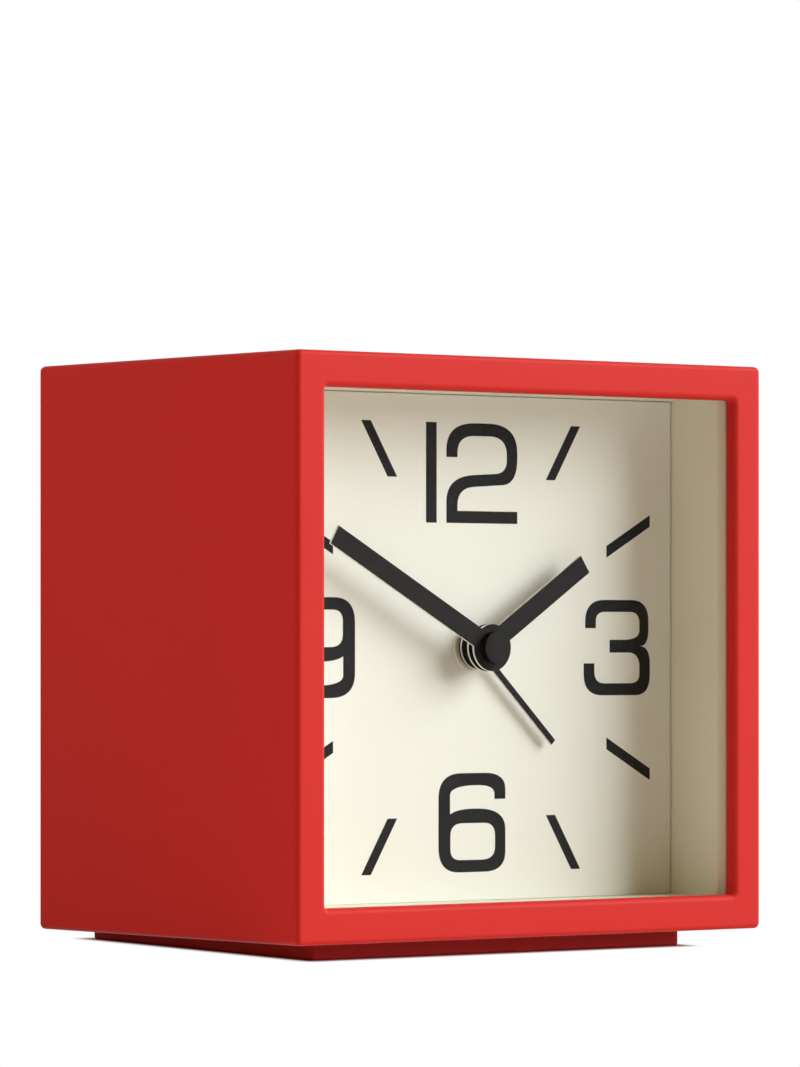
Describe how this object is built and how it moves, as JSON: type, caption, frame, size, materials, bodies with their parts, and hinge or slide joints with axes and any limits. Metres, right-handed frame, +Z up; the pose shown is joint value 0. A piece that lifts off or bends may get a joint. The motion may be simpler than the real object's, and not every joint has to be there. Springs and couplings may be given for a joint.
{
  "type": "alarm clock",
  "caption": "Square-cased battery alarm clock with a deep recessed cream dial, black stick hands, rear setting knobs and a wedge foot.",
  "frame": {"origin": "centre of the foot's underside, on the floor", "axes": "+Z up, -Y towards the viewer of the dial, +X to the viewer's right"},
  "size_m": [0.08, 0.061, 0.0802],
  "materials": {
    "red_case": "fine matte",
    "red_foot": "matte",
    "cream_dial": "satin",
    "clear_lens": "polished clear",
    "black_hands": "satin paint",
    "black_plastic": "matte",
    "white_plastic": "satin",
    "bright_steel": "bright",
    "brass": "turned",
    "copper_winding": "enamelled wire",
    "green_board": "solder mask",
    "battery_jacket": "printed jacket"
  },
  "bodies": {
    "case": {"case_shell": "red_case", "rear_cover": "red_case", "foot": "red_foot", "dial_box": "cream_dial", "bush_nut": "cream_dial", "lens": "clear_lens", "movement_front_plate": "black_plastic", "movement_housing": "black_plastic", "sounder": "black_plastic", "sounder_lead_1": "black_plastic", "sounder_lead_2": "black_plastic", "middle_plate": "white_plastic", "stator": "bright_steel", "battery_spring": "bright_steel", "positive_contact": "bright_steel", "negative_contact": "bright_steel", "switch_body": "bright_steel", "rear_screw_1": "bright_steel", "rear_screw_2": "bright_steel", "rear_screw_3": "bright_steel", "rear_screw_4": "bright_steel", "movement_screw_1": "bright_steel", "movement_screw_2": "bright_steel", "movement_screw_3": "bright_steel", "movement_screw_4": "bright_steel", "alarm_contact": "brass", "coil": "copper_winding", "circuit_board": "green_board", "battery": "battery_jacket"},
    "minute": {"minute_arbor": "bright_steel", "minute_hand": "black_hands", "hub_cap": "black_hands"},
    "hour": {"hour_wheel": "white_plastic", "hour_hand": "black_hands"},
    "alarm": {"alarm_wheel": "white_plastic", "alarm_hand": "black_hands"},
    "minute_wheel": {"minute_wheel": "white_plastic"},
    "time_setting": {"time_stem": "brass", "time_knob": "black_plastic"},
    "alarm_setting": {"alarm_stem": "brass", "alarm_knob": "black_plastic"},
    "rotor": {"rotor": "bright_steel"},
    "intermediate_wheel": {"intermediate_wheel": "white_plastic"},
    "fourth_wheel": {"fourth_wheel": "white_plastic"},
    "third_wheel": {"third_wheel": "white_plastic"},
    "centre_wheel": {"centre_wheel": "white_plastic"},
    "door": {"battery_door": "red_case"},
    "switch": {"switch_slider": "black_plastic"}
  },
  "joints": [
    {"name": "time_knob_turn", "type": "hinge", "parent": "case", "child": "time_setting", "pos_m": [-0.0125, -0.01545, 0.04108], "axis": [0, 0.9998, -0.0178], "continuous": true},
    {"name": "minute_wheel_turn", "type": "hinge", "parent": "case", "child": "minute_wheel", "pos_m": [-0.00625, -0.01046, 0.0488], "axis": [0, 0.9998, -0.0178], "continuous": true},
    {"name": "minute_turn", "type": "hinge", "parent": "case", "child": "minute", "pos_m": [0, -0.02288, 0.04121], "axis": [0, 0.9998, -0.0178], "continuous": true},
    {"name": "hour_turn", "type": "hinge", "parent": "case", "child": "hour", "pos_m": [0, -0.0124, 0.04103], "axis": [0, 0.9998, -0.0178], "continuous": true},
    {"name": "alarm_knob_turn", "type": "hinge", "parent": "case", "child": "alarm_setting", "pos_m": [0.0125, -0.01545, 0.04108], "axis": [0, 0.9998, -0.0178], "continuous": true},
    {"name": "alarm_turn", "type": "hinge", "parent": "case", "child": "alarm", "pos_m": [0, -0.0142, 0.04106], "axis": [0, 0.9998, -0.0178], "continuous": true},
    {"name": "rotor_turn", "type": "hinge", "parent": "case", "child": "rotor", "pos_m": [-0.00475, -0.00256, 0.0289], "axis": [0, 0.9998, -0.0178], "continuous": true},
    {"name": "intermediate_turn", "type": "hinge", "parent": "case", "child": "intermediate_wheel", "pos_m": [0, -0.00418, 0.03368], "axis": [0, 0.9998, -0.0178], "continuous": true},
    {"name": "fourth_turn", "type": "hinge", "parent": "case", "child": "fourth_wheel", "pos_m": [0, -0.0058, 0.04091], "axis": [0, 0.9998, -0.0178], "continuous": true},
    {"name": "third_turn", "type": "hinge", "parent": "case", "child": "third_wheel", "pos_m": [0, -0.00847, 0.05116], "axis": [0, 0.9998, -0.0178], "continuous": true},
    {"name": "centre_turn", "type": "hinge", "parent": "case", "child": "centre_wheel", "pos_m": [0, -0.0071, 0.04093], "axis": [0, 0.9998, -0.0178], "continuous": true},
    {"name": "door_swing", "type": "hinge", "parent": "case", "child": "door", "pos_m": [0, 0.0232, 0.01254], "axis": [-1, 0, 0], "range_deg": [0, 95]},
    {"name": "switch_slide", "type": "slide", "parent": "case", "child": "switch", "axis": [1, 0, 0], "range_m": [0, 0.004]}
  ],
  "couplings": [
    {"joint": "time_knob_turn", "follows": "minute_turn", "ratio": 1},
    {"joint": "minute_wheel_turn", "follows": "minute_turn", "ratio": -0.33333},
    {"joint": "hour_turn", "follows": "minute_turn", "ratio": 0.083333},
    {"joint": "alarm_turn", "follows": "alarm_knob_turn", "ratio": -0.25},
    {"joint": "intermediate_turn", "follows": "rotor_turn", "ratio": -0.16667},
    {"joint": "fourth_turn", "follows": "rotor_turn", "ratio": 0.033333},
    {"joint": "third_turn", "follows": "rotor_turn", "ratio": -0.0044444},
    {"joint": "centre_turn", "follows": "rotor_turn", "ratio": 0.00055556}
  ]
}
